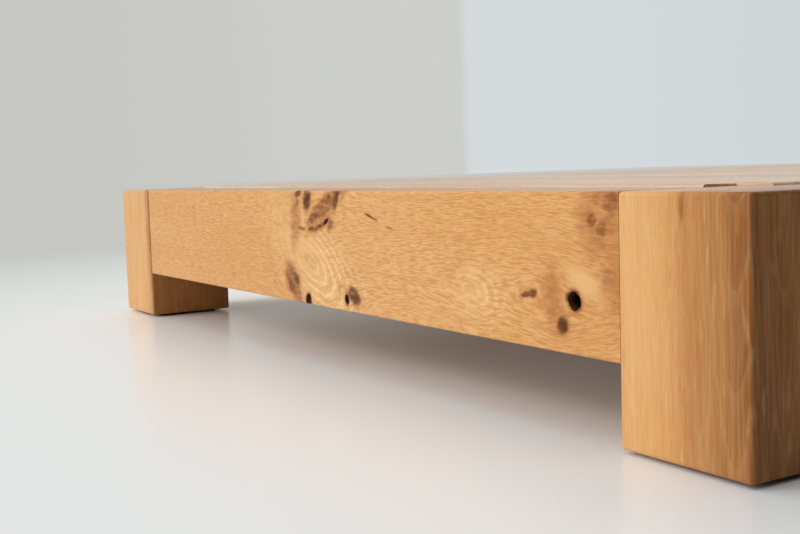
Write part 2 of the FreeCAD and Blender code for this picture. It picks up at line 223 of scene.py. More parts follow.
def makeWorld():  # two pale walls that meet at an upright corner; little light from the right and behind
    world = bpy.data.worlds.new("studioWorld")
    scene.world = world
    world.use_nodes = True
    tree = world.node_tree
    tree.nodes.clear()
    coords = addNode(tree, "ShaderNodeTexCoord").outputs["Generated"]
    x, y, z = addNode(tree, "ShaderNodeSeparateXYZ", coords).outputs
    path = addNode(tree, "ShaderNodeLightPath").outputs
    corner = math.radians(studio["cornerTurn"])
    side = minus(tree, product(tree, x, math.cos(corner)), product(tree, y, math.sin(corner)))
    onRight = span(tree, side, -studio["cornerSoft"], studio["cornerSoft"])
    wall = tint(tree, onRight, studio["wallLeft"], studio["wallRight"])
    shade = span(tree, calc(tree, "ABSOLUTE", side), studio["wallDimFrom"], studio["wallDimTo"],
                 1.0, 1.0 - studio["wallDim"])
    mirrored = product(tree, path["Is Glossy Ray"],
                       span(tree, x, studio["mirrorFrom"], studio["mirrorTo"], 1.0, studio["mirrorDim"]))
    seen = calc(tree, "MAXIMUM", product(tree, path["Is Camera Ray"], shade),
                calc(tree, "MAXIMUM", mirrored, path["Is Transmission Ray"]))
    lean = addUp(tree, *(product(tree, axis, share) for axis, share in zip((x, y, z), studio["lightWay"])))
    unseen = minus(tree, 1.0, calc(tree, "MAXIMUM", path["Is Camera Ray"], path["Is Glossy Ray"]))
    light = product(tree, unseen,
                    span(tree, lean, 0.0, studio["lightFull"], studio["worldDim"], studio["worldBright"]))
    background = addNode(tree, "ShaderNodeBackground", wall, calc(tree, "MAXIMUM", seen, light))
    addNode(tree, "ShaderNodeOutputWorld", background.outputs[0])


def makeLamp(name, lamp):
    data = bpy.data.lights.new(name, "AREA")
    data.shape = "RECTANGLE"
    data.size, data.size_y = lamp["size"]
    data.energy = lamp["power"]
    item = bpy.data.objects.new(name, data)
    item.location = lamp["place"]
    beam = Vector(lamp["aim"]) - Vector(lamp["place"])
    item.rotation_euler = beam.to_track_quat("-Z", "Y").to_euler()
    scene.collection.objects.link(item)


makeFloor()
makeWorld()
makeLamp("softKey", softKey)
print("camera and studio ready")


# mesh helpers

shading = {"sharpFrom": 35, "faceWeight": 80}
weldWidth = 1e-6
sliverWidth = 4e-6
sameSpot = 1e-5


def meshFrom(work, name):
    mesh = bpy.data.meshes.new(name)
    work.to_mesh(mesh)
    work.free()
    return mesh


def settleNormals(piece):
    for face in piece.data.polygons:
        face.use_smooth = True
    piece.data.set_sharp_from_angle(angle=math.radians(shading["sharpFrom"]))
    even = piece.modifiers.new("evenNormals", "WEIGHTED_NORMAL")
    even.keep_sharp = True
    even.weight = shading["faceWeight"]


def addPiece(name, mesh, body, node, material):  # takes the place of one CAD node
    piece = bpy.data.objects.new(name, mesh)
    scene.collection.objects.link(piece)
    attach(piece, body)
    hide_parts(node)
    mesh.materials.clear()
    mesh.materials.append(material)
    settleNormals(piece)


def closeSlivers(work):  # thin faces along a cut
    bmesh.ops.remove_doubles(work, verts=work.verts, dist=sliverWidth)
    bmesh.ops.dissolve_degenerate(work, edges=work.edges, dist=sliverWidth)


def roundEdges(work, edges, radius, steps):
    bmesh.ops.bevel(work, geom=edges, offset=radius, segments=steps, profile=0.5, affect="EDGES")


def carve(mesh, cutterMesh, operation="DIFFERENCE"):
    body = bpy.data.objects.new("carveBody", mesh)
    cutter = bpy.data.objects.new("carveCutter", cutterMesh)
    for item in (body, cutter):
        scene.collection.objects.link(item)
    cut = body.modifiers.new("carve", "BOOLEAN")
    cut.object = cutter
    cut.operation = operation
    cut.solver = "EXACT"
    bpy.context.view_layer.update()
    result = bpy.data.meshes.new_from_object(body.evaluated_get(bpy.context.evaluated_depsgraph_get()))
    for item in (body, cutter):
        bpy.data.objects.remove(item)
    work = bmesh.new()
    work.from_mesh(result)
    closeSlivers(work)
    return meshFrom(work, result.name)


def blockMesh(name, low, high, radius, steps, edgeAxis=None):  # all edges rounded, or those along one axis
    work = bmesh.new()
    bmesh.ops.create_cube(work, size=1.0)
    for vertex in work.verts:
        vertex.co = Vector(low[i] + (vertex.co[i] + 0.5) * (high[i] - low[i]) for i in range(3))
    edges = [edge for edge in work.edges if edgeAxis is None
             or abs((edge.verts[0].co - edge.verts[1].co).normalized()[edgeAxis]) > 0.9]
    roundEdges(work, edges, radius, steps)
    return meshFrom(work, name)


def stackRings(work, rings):  # a closed skin through rings of points, or single points at its ends
    rows = [[work.verts.new(point) for point in ring] for ring in rings]
    for low, high in zip(rows, rows[1:]):
        count = max(len(low), len(high))
        for index in range(count):
            after = (index + 1) % count
            corners = [low[index % len(low)], low[after % len(low)],
                       high[after % len(high)], high[index % len(high)]]
            work.faces.new(list(dict.fromkeys(corners)))
    for row in (rows[0], rows[-1]):
        if len(row) > 2:
            work.faces.new(row)
    bmesh.ops.recalc_face_normals(work, faces=work.faces)


def circle(radius, height, sides):
    if radius == 0:
        return [Vector((0, 0, height))]
    turns = [2 * math.pi * index / sides for index in range(sides)]
    return [Vector((radius * math.cos(turn), radius * math.sin(turn), height)) for turn in turns]


def lathe(name, profile, sides=48):
    work = bmesh.new()
    stackRings(work, [circle(radius, height, sides) for radius, height in profile])
    return meshFrom(work, name)


# knotty oak: one solid wood texture, its fibres bent round the knots of each piece

# the dark brown tone that the legs take towards their +X sides is partly heartwood, partly painted shade of
# that side
oakTone = {"honey": srgb(223, 171, 112), "tan": srgb(214, 158, 99), "ringBrown": srgb(200, 142, 84),
           "pale": srgb(240, 203, 149), "pore": srgb(172, 98, 34), "dusk": srgb(124, 70, 32),
           "knotHalo": srgb(170, 102, 54), "knotCore": srgb(112, 62, 33), "knotHeart": srgb(50, 29, 19)}

oakShow = {"early": 0.45, "fibre": 0.15, "fleck": 0.16, "paleKnot": 0.4, "roughness": 0.14,
           "poreRough": 0.15, "fibreRough": 0.1, "gloss": 0.08, "bump": (0.0002, 0.25)}

knotSockets = ["Along", "Across", "Depth", "Wobble", "KnotAlong", "KnotAcross", "HalfLong", "HalfHigh",
               "TiltCos", "TiltSin", "Reach", "Bend", "Heart", "Core", "Fade", "Halo", "Pale", "Swirl",
               "Rings"]
knotResults = ["Shift", "Core", "Heart", "Halo", "Pale", "Swirl"]


def makeKnotGroup():
    tree = bpy.data.node_groups.new("knotField", "ShaderNodeTree")
    for name in knotSockets + [result + "In" for result in knotResults]:
        tree.interface.new_socket(name, in_out="INPUT", socket_type="NodeSocketFloat")
    for name in knotResults:
        tree.interface.new_socket(name, in_out="OUTPUT", socket_type="NodeSocketFloat")
    given = addNode(tree, "NodeGroupInput").outputs
    result = addNode(tree, "NodeGroupOutput").inputs
    lengthwise = minus(tree, given["Along"], given["KnotAlong"])
    crosswise = minus(tree, given["Across"], given["KnotAcross"])
    first = addUp(tree, product(tree, lengthwise, given["TiltCos"]),
                  product(tree, crosswise, given["TiltSin"]))
    second = minus(tree, product(tree, crosswise, given["TiltCos"]),
                   product(tree, lengthwise, given["TiltSin"]))
    endwise = calc(tree, "DIVIDE", first, given["HalfLong"])
    oval = hypotenuse(tree, endwise, calc(tree, "DIVIDE", second, given["HalfHigh"]))
    even = product(tree, oval, scaled(tree, given["Wobble"], 0.3, 1.0))
    oval = product(tree, oval, addUp(tree, 1.0, given["Wobble"]))
    deep = span(tree, given["Depth"], product(tree, given["Reach"], 0.55), given["Reach"], 1.0, 0.0)
    wave = calc(tree, "FRACT", product(tree, even, given["Rings"]))
    line = span(tree, calc(tree, "ABSOLUTE", minus(tree, wave, 0.5)), 0.18, 0.46)
    bend = product(tree, given["Bend"], given["Bend"])
    apart = addUp(tree, calc(tree, "POWER", product(tree, lengthwise, 0.6), 2.0),
                  calc(tree, "POWER", crosswise, 2.0))
    push = calc(tree, "DIVIDE", product(tree, bend, crosswise), scaled(tree, bend, 2.2, apart))
    marks = {"Core": span(tree, oval, 0.55, 1.15, 1.0, 0.0),
             "Heart": span(tree, oval, 0.4, 0.9, 1.0, 0.0),
             "Halo": span(tree, oval, 0.6, given["Fade"], 1.0, 0.0),
             "Pale": span(tree, even, 0.0, given["Fade"], 1.0, 0.0),
             "Swirl": product(tree, line, span(tree, even, 0.3, 1.0, 1.0, 0.0),
                              span(tree, endwise, -0.3, 0.3, 0.25, 1.0))}
    feed(tree, result["Shift"], minus(tree, given["ShiftIn"], product(tree, push, deep)))
    for key, mark in marks.items():
        shown = product(tree, mark, deep, given[key])
        feed(tree, result[key], calc(tree, "MAXIMUM", given[key + "In"], shown))
    return tree


knotGroup = makeKnotGroup()


def knot(along, across, halfLong, halfHigh, tilt=0.0, core=0.9, heart=0.0, halo=0.7, fade=2.0,
         bend=0.004, pale=0.0, swirl=0.0, rings=0.0, reach=0.06):  # places and sizes in metres
    return {"KnotAlong": along, "KnotAcross": across, "HalfLong": halfLong, "HalfHigh": halfHigh,
            "TiltCos": math.cos(math.radians(tilt)), "TiltSin": math.sin(math.radians(tilt)),
            "Reach": reach, "Bend": bend, "Heart": heart, "Core": core,
            "Fade": fade, "Halo": halo, "Pale": pale, "Swirl": swirl, "Rings": rings}


def makeOak(name, grain):
    material, tree = newMaterial(name)
    _, axes = restCoords(tree)
    along = axes[grain["along"]]
    across = axes[grain["across"]]
    into = product(tree, minus(tree, axes[grain["into"]], grain["face"]), grain["inward"])
    shift = grain["seedShift"]
    raw = triple(tree, along, across, into)

    def rawNoise(scale, detail=2.0, roughness=0.5):
        return grainNoise(tree, raw, scale, detail, roughness, shift)

    def swing(value, amount):
        return product(tree, minus(tree, value, 0.5), amount)

    wobble = swing(rawNoise((48, 100, 60), 3.0, 0.55), 0.9)
    state = {key + "In": 0.0 for key in knotResults}
    for place in grain["knots"]:
        group = addNode(tree, "ShaderNodeGroup", node_tree=knotGroup)
        feedAll(tree, group, {"Along": along, "Across": across, "Depth": into, "Wobble": wobble,
                              **place, **state})
        state = {key + "In": group.outputs[key] for key in knotResults}
    bent = addUp(tree, across, state["ShiftIn"], swing(rawNoise((2.6, 7, 7)), grain["wander"]),
                 swing(rawNoise((17, 13, 13), 1.0), grain["sway"]),
                 swing(rawNoise((46, 40, 40), 1.0), grain["ripple"]))

    # year rings round the pith, which may lie outside the piece
    fromPith = hypotenuse(tree, minus(tree, bent, grain["pith"][0]), minus(tree, into, grain["pith"][1]))
    ring = calc(tree, "DIVIDE", addUp(tree, fromPith, product(tree, along, grain["taper"])), grain["ring"])
    band = lineNoise(tree, product(tree, ring, 0.45), 1.5)
    saw = calc(tree, "FRACT", addUp(tree, ring, band))
    early = span(tree, saw, 0.0, 0.4, 1.0, 0.0)

    # fibres, pores and flecks that run with the bent grain
    wood = triple(tree, along, bent, into)

    def woodNoise(scale, detail=1.0, roughness=0.5):
        return grainNoise(tree, wood, scale, detail, roughness, shift)

    fibre = woodNoise((11, 300, 300), 3.0, 0.6)
    streak = woodNoise((3.2, 55, 55), 2.0)
    drift = woodNoise((1.7, 9, 9), 2.0)
    coarse = span(tree, woodNoise((48, 860, 860), 1.5), 0.46, 0.6)
    fine = span(tree, woodNoise((90, 1250, 1250)), 0.5, 0.68)
    fleck = span(tree, woodNoise((26, 150, 70)), 0.58, 0.74)
    calm = minus(tree, 1.0, calc(tree, "MINIMUM", product(tree, state["PaleIn"], 1.8), 0.9))
    pores = product(tree, calc(tree, "MAXIMUM", coarse, product(tree, fine, 0.7)), calm,
                    scaled(tree, early, 0.3, 0.7))
    colour = tint(tree, span(tree, drift, 0.3, 0.7), oakTone["honey"], oakTone["tan"])
    if "dusk" in grain:  # heartwood that darkens towards one edge, and painted shade on the leg's +X side
        low, high, amount = grain["dusk"]
        dusk = span(tree, scaled(tree, streak, 0.03, bent), low, high, 0.0, amount)
        colour = tint(tree, dusk, colour, oakTone["dusk"])
    mottle = rawNoise((60, 130, 90), 4.0, 0.6)
    layers = [(product(tree, span(tree, band, 0.35, 0.7), grain["ringShow"]), "ringBrown"),
              (product(tree, early, grain["ringShow"], oakShow["early"]), "pale"),
              (product(tree, span(tree, streak, 0.45, 0.75), grain["streakShow"]), "ringBrown"),
              (product(tree, span(tree, fibre, 0.35, 0.75), oakShow["fibre"]), "pale"),
              (product(tree, fleck, oakShow["fleck"]), "pale"),
              (product(tree, state["PaleIn"], oakShow["paleKnot"]), "pale"),
              (state["SwirlIn"], "pale"),
              (product(tree, pores, grain["poreShow"]), "pore"),
              (product(tree, state["HaloIn"], span(tree, mottle, 0.3, 0.68, 0.45, 1.0)), "knotHalo"),
              (product(tree, state["CoreIn"], span(tree, mottle, 0.3, 0.62, 0.5, 1.0)), "knotCore"),
              (state["HeartIn"], "knotHeart")]
    for share, tone in layers:
        colour = tint(tree, share, colour, oakTone[tone])
    roughness = addUp(tree, product(tree, pores, oakShow["poreRough"]),
                      product(tree, fibre, oakShow["fibreRough"]), oakShow["roughness"])
    height = minus(tree, product(tree, fibre, 0.4), calc(tree, "MAXIMUM", pores, state["HeartIn"]))
    finishShader(tree, colour, roughness, height, oakShow["bump"], {"Specular IOR Level": oakShow["gloss"]})
    return material


beamGrain = {"pith": (0.36, 0.09), "taper": 0.01, "ring": 0.0032, "ringShow": 0.14, "poreShow": 0.54,
             "streakShow": 0.2, "wander": 0.018, "sway": 0.005, "ripple": 0.0019, "hollows": []}
crossGrain = {**beamGrain, "along": 0, "across": 2, "into": 1}
sideGrain = {**beamGrain, "along": 1, "across": 2, "into": 0}

footBeam = {
    **crossGrain, "node": "foot_beam", "face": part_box("foot_beam")[0].y, "inward": 1.0,
    "pith": (0.38, 0.09), "taper": 0.012, "wander": 0.016, "seedShift": (3.1, 7.7, 1.9),
    "knots": [
        # upper left: dark streak, soft band and the broad curved knot with a crack under it
        knot(0.019, 0.237, 0.018, 0.0135, 82, core=0.95, heart=0.6, halo=0.6, fade=1.6, bend=0.02),
        knot(-0.01, 0.246, 0.012, 0.0065, 10, core=0.8, heart=0.3, halo=0.5, bend=0.006),
        knot(-0.014, 0.232, 0.01, 0.006, 70, core=0.5, halo=0.5, bend=0.006),
        knot(-0.021, 0.208, 0.036, 0.015, 86, core=0.15, halo=0.7, fade=1.7, bend=0.012),
        knot(0.073, 0.2285, 0.058, 0.0135, 24, core=0.62, halo=0.9, fade=1.35, bend=0.03),
        knot(0.107, 0.2385, 0.018, 0.009, 60, core=0.9, heart=0.3, halo=0.6, fade=1.6, bend=0.006),
        knot(0.0846, 0.2389, 0.012, 0.0055, 40, core=0.85, heart=0.1, halo=0.4),
        knot(0.037, 0.212, 0.02, 0.008, 22, core=0.85, heart=0.15, halo=0.6, fade=1.6, bend=0.006),
        knot(0.052, 0.2055, 0.046, 0.013, 16, core=0.2, halo=0.75, fade=1.4),
        knot(0.0, 0.1955, 0.018, 0.0034, -3, core=0.6, heart=0.1, halo=0.5, bend=0.003),
        knot(0.031, 0.1957, 0.013, 0.0038, 4, core=0.85, heart=0.3, halo=0.6),
        knot(0.054, 0.1995, 0.024, 0.0042, 19, core=0.85, heart=0.3, halo=0.6),
        knot(0.0755, 0.2072, 0.012, 0.004, 30, core=0.9, heart=0.7, halo=0.7),
        knot(0.088, 0.202, 0.012, 0.008, 40, core=0.55, halo=0.6, fade=1.6),
        knot(0.128, 0.246, 0.018, 0.006, 40, core=0.35, halo=0.45, bend=0.006),
        # short cracks to the right of it
        knot(0.198, 0.2172, 0.016, 0.0021, -16, core=0.75, heart=0.55, halo=0.3),
        knot(0.2135, 0.2135, 0.006, 0.0017, -12, core=0.6, heart=0.2, halo=0.3, bend=0.003),
        knot(0.247, 0.2035, 0.01, 0.0015, -6, core=0.45, heart=0.2, halo=0.2, bend=0.003),
        # lower left: patch with dark spots in it, black spot on the lower edge
        knot(-0.036, 0.117, 0.031, 0.02, -44, core=0.6, halo=0.8, fade=1.5, bend=0.03),
        knot(-0.024, 0.1205, 0.015, 0.0095, -60, core=0.95, heart=0.35, halo=0.5, bend=0.006),
        knot(-0.042, 0.1105, 0.015, 0.01, -40, core=0.9, heart=0.3, halo=0.5, bend=0.006),
        knot(-0.02, 0.098, 0.022, 0.013, -58, core=0.4, halo=0.65, fade=1.6, bend=0.006),
        knot(0.0134, 0.093, 0.0125, 0.0105, 80, core=0.9, heart=1.0, halo=0.5, fade=1.6, bend=0.014),
        # the leaning oval knot with its black drop
        knot(0.1505, 0.1085, 0.0215, 0.014, -30, core=1.0, heart=0.35, halo=0.45, fade=1.3, bend=0.03),
        knot(0.1297, 0.1025, 0.0098, 0.0078, -70, core=0.9, heart=1.0, halo=0.6, fade=1.6, bend=0.006),
        knot(0.12, 0.1115, 0.016, 0.009, -45, core=0.0, halo=0.45, fade=1.6),
        # swirls in the figure
        knot(0.022, 0.149, 0.24, 0.095, -27, core=0.0, halo=0.0, fade=0.9, bend=0.055,
             pale=0.4, swirl=0.75, rings=9.0),
        knot(0.022, 0.149, 0.026, 0.013, -20, core=0.0, halo=0.25, fade=1.5),
        knot(0.423, 0.137, 0.1, 0.05, -6, core=0.0, halo=0.0, fade=0.9, bend=0.045,
             pale=0.25, swirl=0.45, rings=6.0),
        knot(0.386, 0.163, 0.022, 0.01, 20, core=0.0, halo=0.22, fade=1.5),
        # right: the hole, the brown knots round it and a darker brown band beside the leg
        knot(0.6043, 0.141, 0.0145, 0.013, -30, core=0.9, heart=1.0, halo=0.45, fade=1.4, bend=0.035),
        knot(0.618, 0.161, 0.034, 0.016, -25, core=0.0, halo=0.0, fade=1.3, pale=0.85),
        knot(0.585, 0.1145, 0.0112, 0.0105, 90, core=0.95, heart=0.45, halo=0.6, bend=0.012),
        knot(0.57, 0.138, 0.034, 0.016, 100, core=0.05, halo=0.6, fade=1.5, bend=0.006),
        knot(0.5385, 0.1437, 0.0082, 0.0056, 10, core=1.0, heart=0.55, halo=0.45, fade=1.6, bend=0.012),
        knot(0.5265, 0.1415, 0.011, 0.0033, 12, core=0.9, heart=0.15, halo=0.5),
        knot(0.645, 0.226, 0.038, 0.03, 70, core=0.05, halo=0.75, fade=1.5, bend=0.02),
        knot(0.632, 0.2222, 0.009, 0.007, 50, core=0.75, halo=0.6),
        knot(0.645, 0.212, 0.01, 0.0085, 70, core=0.65, halo=0.6),
        knot(0.66, 0.24, 0.014, 0.012, 60, core=0.6, halo=0.6),
        knot(0.667, 0.19, 0.062, 0.015, 90, core=0.0, halo=0.65, fade=1.5),
        knot(0.656, 0.1665, 0.014, 0.012, 80, core=0.25, halo=0.5, bend=0.006),
    ],
    "hollows": [
        {"place": (0.6043, 0.141), "half": (0.0102, 0.0092, 0.022), "tilt": -50},
        {"place": (0.0755, 0.2072), "half": (0.0066, 0.0025, 0.004), "tilt": 30},
        {"place": (0.1297, 0.1025), "half": (0.007, 0.0055, 0.007), "tilt": -70},
        {"place": (0.0134, 0.092), "half": (0.0095, 0.0085, 0.008), "tilt": 80},
    ],
}

strewn = {"size": (0.006, 0.015), "longer": (1.0, 1.6), "tilt": (0, 180), "core": (0.5, 0.9),
          "hearts": (0.0, 0.3, 0.9), "halo": (0.5, 0.7), "fade": (1.6, 2.2), "bend": (1.4, 2.2),
          "reach": (0.05, 0.12), "swirlChance": 0.35, "swirlAside": (-0.12, 0.12), "swirlLong": (0.07, 0.14),
          "swirlHigh": (0.035, 0.05), "swirlTilt": (-15, 15)}


def strewnKnots(seed, lengthRange, highRange, count):  # knots for the sides out of the camera's view
    draw = random.Random(seed)

    def pick(key):
        return draw.uniform(*strewn[key])

    found = []
    for _ in range(count):
        along = draw.uniform(*lengthRange)
        across = draw.uniform(*highRange)
        size = pick("size")
        found.append(knot(along, across, size * pick("longer"), size, pick("tilt"), core=pick("core"),
                          heart=draw.choice(strewn["hearts"]), halo=pick("halo"), fade=pick("fade"),
                          bend=size * pick("bend"), reach=pick("reach")))
        if draw.random() < strewn["swirlChance"]:
            found.append(knot(along + pick("swirlAside"), draw.uniform(*highRange), pick("swirlLong"),
                              pick("swirlHigh"), pick("swirlTilt"), core=0.0, halo=0.0, bend=0.04,
                              pale=0.35, swirl=0.4, rings=10.0, reach=0.12))
    return found


headBeam = {**crossGrain, "node": "head_beam", "face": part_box("head_beam")[1].y, "inward": -1.0,
            "seedShift": (11.3, 2.2, 5.9), "knots": strewnKnots(4, (-0.62, 0.62), (0.1, 0.24), 9)}
leftBeam = {**sideGrain, "node": "left_beam", "face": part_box("left_beam")[0].x, "inward": 1.0,
            "seedShift": (6.3, 12.2, 0.9), "knots": strewnKnots(15, (-0.82, 0.82), (0.1, 0.24), 12)}
rightBeam = {**sideGrain, "node": "right_beam", "face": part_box("right_beam")[1].x, "inward": -1.0,
             "seedShift": (1.3, 9.2, 15.9), "knots": strewnKnots(27, (-0.82, 0.82), (0.1, 0.24), 12)}

legGrain = {"along": 2, "across": 0, "into": 1, "ring": 0.0046, "ringShow": 0.18, "poreShow": 0.28,
            "streakShow": 0.4, "wander": 0.01, "sway": 0.004, "ripple": 0.0012, "hollows": []}
frontGrain = {**legGrain, "face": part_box("leg_foot_left")[0].y, "inward": 1.0}
backGrain = {**legGrain, "face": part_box("leg_head_left")[1].y, "inward": -1.0}
# each leg darkens towards its +X side: partly heartwood, partly painted shade of the side turned away from
# the lamp
nearLeg = {**frontGrain, "node": "leg_foot_right", "pith": (0.812, 0.04), "taper": -0.06,
           "seedShift": (8.1, 4.4, 2.7), "dusk": (0.725, 0.845, 0.95),
           "knots": [knot(0.24, 0.752, 0.016, 0.0035, core=0.35, halo=0.6, bend=0.006),
                     knot(0.13, 0.763, 0.3, 0.012, core=0.0, halo=0.35, fade=1.5, bend=0.001),
                     knot(0.16, 0.7, 0.4, 0.045, core=0.0, halo=0.0, fade=1.3, bend=0.001, pale=0.28)]}
farLeg = {**frontGrain, "node": "leg_foot_left", "pith": (-0.7, 0.12), "taper": 0.05,
          "seedShift": (2.1, 14.4, 6.7), "dusk": (-0.69, -0.655, 0.6), "knots": []}
backLegLeft = {**backGrain, "node": "leg_head_left", "pith": (-0.86, 0.13), "taper": 0.05,
               "seedShift": (5.1, 1.4, 12.7), "dusk": (-0.74, -0.65, 0.6),
               "knots": strewnKnots(31, (0.05, 0.2), (-0.82, -0.68), 2)}
backLegRight = {**backGrain, "node": "leg_head_right", "pith": (0.7, 0.11), "taper": -0.09,
                "seedShift": (9.1, 6.4, 16.7), "dusk": (0.75, 0.85, 0.7),
                "knots": strewnKnots(46, (0.05, 0.2), (0.68, 0.82), 2)}

oakEdges = {"beamRound": 0.003, "legRound": 0.004, "steps": 4}
hollowLook = {"wall": srgb(84, 50, 31), "crumb": srgb(112, 70, 45), "deep": srgb(14, 7, 5), "deepFrom": 0.003,
              "deepTo": 0.012, "lump": 0.18, "lumpSize": 1.7, "nearBy": 1.4, "edgeDepth": 0.0003,
              "roughness": 0.95, "gloss": 0.03, "bump": (0.0008, 0.6)}


def makeDarkWood(grain):  # dark knot wood on the walls of the hollows, with painted shade that darkens it deep inside
    material, tree = newMaterial("hollowWood")
    coords, axes = restCoords(tree)
    crumbs = grainNoise(tree, coords, (420, 420, 420), 4.0, 0.65)
    depth = product(tree, minus(tree, axes[grain["into"]], grain["face"]), grain["inward"])
    colour = tint(tree, span(tree, crumbs, 0.35, 0.75), hollowLook["wall"], hollowLook["crumb"])
    # painted shade: the colour goes near black deeper in the hollow
    paintedShade = span(tree, depth, hollowLook["deepFrom"], hollowLook["deepTo"])
    colour = tint(tree, paintedShade, colour, hollowLook["deep"])
    finishShader(tree, colour, hollowLook["roughness"], crumbs, hollowLook["bump"],
                 {"Specular IOR Level": hollowLook["gloss"]})
    return material


def lumpyCutter(work, centre, half, turn, seed):  # an uneven hollow left by a knot
    start = len(work.verts)
    bmesh.ops.create_icosphere(work, subdivisions=3, radius=1.0)
    work.verts.ensure_lookup_table()
    for vertex in work.verts[start:]:
        spot = vertex.co * hollowLook["lumpSize"] + Vector((seed, 2.3 * seed, 0.7))
        uneven = 1.0 + hollowLook["lump"] * noise.noise(spot)
        vertex.co = turn @ Vector(vertex.co[i] * uneven * half[i] for i in range(3)) + centre


def hollowCutter(name, grain):
    work = bmesh.new()
    for index, hollow in enumerate(grain["hollows"]):
        centre = Vector((0, 0, 0))
        centre[grain["along"]], centre[grain["across"]] = hollow["place"]
        centre[grain["into"]] = grain["face"]
        tilt = math.radians(hollow["tilt"])
        turn = Matrix(((math.cos(tilt), -math.sin(tilt), 0), (0, 0, -1),
                       (math.sin(tilt), math.cos(tilt), 0)))
        lumpyCutter(work, centre, hollow["half"], turn, index + 1.0)
    return meshFrom(work, name + "Hollows")


def liesInHollow(mesh, face, grain):
    depth = (face.center[grain["into"]] - grain["face"]) * grain["inward"]
    spots = [Vector((point[grain["along"]], point[grain["across"]]))
             for point in (mesh.vertices[index].co for index in face.vertices)]
    for hollow in grain["hollows"]:
        reach = hollowLook["nearBy"] * max(hollow["half"][:2])
        if all((spot - Vector(hollow["place"])).length < reach for spot in spots):
            return depth > hollowLook["edgeDepth"]
    return False


def makeOakPiece(name, grain, isLeg):
    low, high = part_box(grain["node"])
    radius = oakEdges["legRound"] if isLeg else oakEdges["beamRound"]
    mesh = blockMesh(name, low, high, radius, oakEdges["steps"], None if isLeg else grain["along"])
    if grain["hollows"]:
        mesh = carve(mesh, hollowCutter(name, grain))
    addPiece(name, mesh, "bed", grain["node"], makeOak(name + "Oak", grain))
    if grain["hollows"]:
        mesh.materials.append(makeDarkWood(grain))
        for face in mesh.polygons:
            face.material_index = 1 if liesInHollow(mesh, face, grain) else 0


beams = {"footBeam": footBeam, "headBeam": headBeam, "leftBeam": leftBeam, "rightBeam": rightBeam}
legs = {"nearLeg": nearLeg, "farLeg": farLeg, "backLegLeft": backLegLeft, "backLegRight": backLegRight}
for pieceName, grain in {**beams, **legs}.items():
    makeOakPiece(pieceName, grain, pieceName in legs)
print("oak beams and legs made")


# slats of bare pale hardwood

slatLook = {"round": 0.005, "steps": 4, "notchClearance": 0.002, "notchRound": 0.0025,
            "body": srgb(233, 203, 175), "deep": srgb(206, 160, 128), "light": srgb(245, 226, 204),
            "line": srgb(176, 126, 96), "boardShift": 3.7, "bow": 0.03, "fibreShow": 0.45, "boardShow": 0.4,
            "lineShow": 0.4, "roughness": (0.15, 0.26), "bump": (0.0002, 0.3)}


def makeSlatWood():
    material, tree = newMaterial("slatWood")
    _, axes = restCoords(tree)
    first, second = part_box("slat_01"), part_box("slat_02")
    pitch = second[0].y - first[0].y
    firstGap = (first[0].y + first[1].y - pitch) / 2  # the count changes in the middle of a gap
    number = calc(tree, "FLOOR", calc(tree, "DIVIDE", minus(tree, axes[1], firstGap), pitch))
    chance = addNode(tree, "ShaderNodeTexWhiteNoise", noise_dimensions="1D")
    feedAll(tree, chance, {"W": number})
    along = scaled(tree, number, slatLook["boardShift"], axes[0])  # each slat from another board
    slow = grainNoise(tree, triple(tree, along, axes[1], axes[2]), (1.4, 14, 14), 2.0)
    bent = scaled(tree, minus(tree, slow, 0.5), slatLook["bow"], axes[1])
    wood = triple(tree, along, bent, axes[2])
    bands = grainNoise(tree, wood, (0.9, 110, 60), 2.0)
    fibre = grainNoise(tree, wood, (14, 520, 300), 3.0, 0.6)
    dash = span(tree, grainNoise(tree, wood, (110, 900, 500), 1.0), 0.6, 0.74)
    colour = tint(tree, span(tree, bands, 0.35, 0.72), slatLook["body"], slatLook["deep"])
    layers = [(product(tree, span(tree, fibre, 0.35, 0.8), slatLook["fibreShow"]), "light"),
              (product(tree, chance.outputs["Value"], slatLook["boardShow"]), "deep"),
              (product(tree, dash, slatLook["lineShow"]), "line")]
    for share, tone in layers:
        colour = tint(tree, share, colour, slatLook[tone])
    roughness = scaled(tree, fibre, *slatLook["roughness"])
    finishShader(tree, colour, roughness, minus(tree, fibre, dash), slatLook["bump"])
    return material


def notchCutter(legBox):
    clear = slatLook["notchClearance"]
    size = [legBox[1][i] - legBox[0][i] + 2 * clear for i in range(3)]
    work = bmesh.new()
    for sign in (-1, 1):
        middle = (legBox[0] + legBox[1]) / 2
        place = Matrix.Translation((sign * middle.x, middle.y, legBox[1].z))
        bmesh.ops.create_cube(work, size=1.0, matrix=place @ Matrix.Diagonal((*size, 1)))
    return meshFrom(work, "notches")


def roundNotches(mesh, legBox, top):  # the notches' upper edges, rounded like the slat's own
    clear = slatLook["notchClearance"]
    walls = [(axis, min(abs(corner[axis]) for corner in legBox) - clear) for axis in (0, 1)]
    work = bmesh.new()
    work.from_mesh(mesh)

    def liesOn(edge, axis, place):
        return all(abs(abs(vertex.co[axis]) - place) < sameSpot for vertex in edge.verts)

    edges = [edge for edge in work.edges
             if liesOn(edge, 2, top) and any(liesOn(edge, axis, place) for axis, place in walls)]
    roundEdges(work, edges, slatLook["notchRound"], slatLook["steps"])
    closeSlivers(work)
    return meshFrom(work, mesh.name)


def makeSlats():
    material = makeSlatWood()
    names = sorted(name for name in cadNodes if name.startswith("slat_"))
    legAt = {names[0]: "leg_foot_right", names[-1]: "leg_head_right"}
    for name in names:
        low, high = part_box(name)
        mesh = blockMesh(name, low, high, slatLook["round"], slatLook["steps"])
        if name in legAt:
            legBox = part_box(legAt[name])
            mesh = roundNotches(carve(mesh, notchCutter(legBox)), legBox, high.z)
        addPiece(name.replace("slat_", "slatBoard"), mesh, "bed", name, material)


makeSlats()
print("slats made")


# planed softwood of the ledgers, the centre beam and its posts

